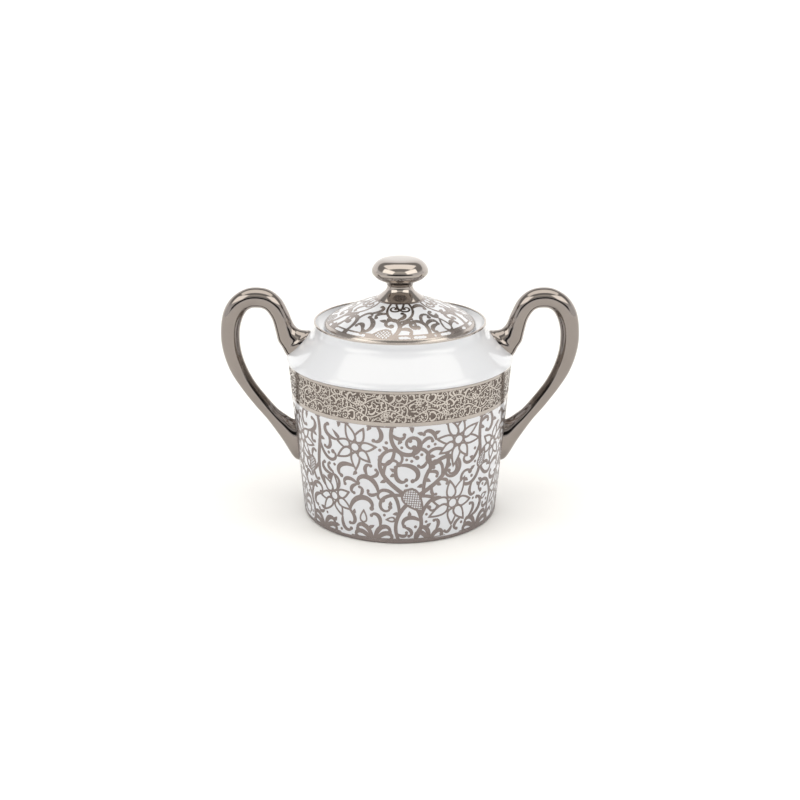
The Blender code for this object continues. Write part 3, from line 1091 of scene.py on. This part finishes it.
def far_panel(tree, direction, under, azimuth, elevation, width, height, soft, colour):
    """A soft-edged panel at the sky's distance. Azimuth 0 is the front. All sizes are in degrees."""
    turn, rise = math.radians(azimuth), math.radians(elevation)
    toward = Vector((math.sin(turn) * math.cos(rise), -math.cos(turn) * math.cos(rise), math.sin(rise)))
    right = Vector((math.cos(turn), math.sin(turn), 0.0))
    ahead = dot(tree, direction, toward)
    mask = fade(tree, math_node(tree, "MULTIPLY", ahead, -1.0), -0.05, 0.0)
    for side, size in ((right, width), (toward.cross(right), height)):
        slope = math_node(tree, "DIVIDE", dot(tree, direction, side), ahead)
        half, blur = math.tan(math.radians(size / 2.0)), math.radians(soft)
        edge = fade(tree, math_node(tree, "ABSOLUTE", slope), half - blur, half + blur)
        mask = math_node(tree, "MULTIPLY", mask, edge)
    mix = tree.nodes.new("ShaderNodeMix")
    mix.data_type = "RGBA"
    mix.inputs["B"].default_value = (*colour, 1.0)
    tree.links.new(mask, mix.inputs["Factor"])
    tree.links.new(under, mix.inputs["A"])
    return mix.outputs["Result"]


def studio():
    """The studio as light from far away: a pale surround, a white wall behind, and three softboxes."""
    world = bpy.data.worlds.new("studio")
    world.use_nodes = True
    tree = world.node_tree
    direction = tree.nodes.new("ShaderNodeTexCoord").outputs["Generated"]
    low = fade(tree, dot(tree, direction, (0.0, 0.0, 1.0)), 0.24, 0.45)
    result = two_colours(tree, low, (0.44, 0.43, 0.42), (1.03, 1.03, 1.03))
    result = far_panel(tree, direction, result, 180.0, 17.0, 130.0, 46.0, 4.0, (1.4, 1.39, 1.37))
    result = far_panel(tree, direction, result, 0.0, 93.0, 78.0, 44.0, 2.0, (2.05, 2.0, 1.88))
    result = far_panel(tree, direction, result, 0.0, 40.0, 70.0, 16.0, 2.0, (0.9, 0.88, 0.82))
    result = far_panel(tree, direction, result, 0.0, 12.0, 104.0, 15.0, 2.0, (0.01, 0.01, 0.01))
    for side in (-1.0, 1.0):
        result = far_panel(tree, direction, result, side * 56.0, 36.0, 46.0, 26.0, 2.0, (2.6, 2.55, 2.4))
    tree.links.new(result, tree.nodes["Background"].inputs["Color"])
    bpy.context.scene.world = world


def camera():
    lens = bpy.data.cameras.new("camera")
    lens.sensor_width = 36.0
    lens.lens = 58.5
    lens.clip_start = 0.01
    lens.clip_end = 100.0
    view = bpy.data.objects.new("camera", lens)
    view.location = (0.0, -0.4688, 0.2013)
    view.rotation_euler = (math.radians(90.0 - 18.671), 0.0, 0.0)
    bpy.context.scene.collection.objects.link(view)
    bpy.context.scene.camera = view


def main():
    white = glaze("white_glaze", (0.70, 0.715, 0.757), (0.685, 0.70, 0.742))
    film = platinum("platinum_line", (0.48, 0.437, 0.405), (0.42, 0.38, 0.352), 0.12, 0.22, 0.2)
    print_film = platinum("platinum_print", (0.275, 0.237, 0.227), (0.228, 0.195, 0.187), 0.24, 0.36, 0.3)
    # The lid's print is a lighter copy of the drum print's platinum film: painted light.
    lit_lid_print_film = platinum("platinum_lid_print_lit", (0.33, 0.291, 0.272), (0.28, 0.245, 0.228), 0.18, 0.3, 0.3)
    # The band's raised relief is a lighter copy of the platinum film: painted highlight.
    lit_relief_film = platinum("platinum_relief_lit", (0.60, 0.555, 0.515), (0.48, 0.44, 0.408), 0.1, 0.24, 0.5)
    # The handles and the knob are one platinum film in two copies: the handles' darker colour is painted shade, the
    # knob's lighter colour is painted light.
    shaded_handle_film = platinum("platinum_handle_shaded", (0.31, 0.276, 0.255), (0.275, 0.244, 0.226), 0.05, 0.12, 0.12)
    lit_knob_film = platinum("platinum_knob_lit", (0.41, 0.37, 0.34), (0.365, 0.328, 0.302), 0.05, 0.12, 0.12)
    # The band's sunk ground is a darkened copy of the platinum film: painted shade.
    ground = shaded_etched_ground("shaded_etched_ground")
    build_bowl(white, film, print_film, lit_relief_film, shaded_handle_film, ground, biscuit("bare_foot"))
    build_lid(white, film, lit_lid_print_film, lit_knob_film)

    floor(plain_floor("floor"))
    studio()
    camera()
    bpy.context.scene.view_settings.view_transform = "Standard"


main()
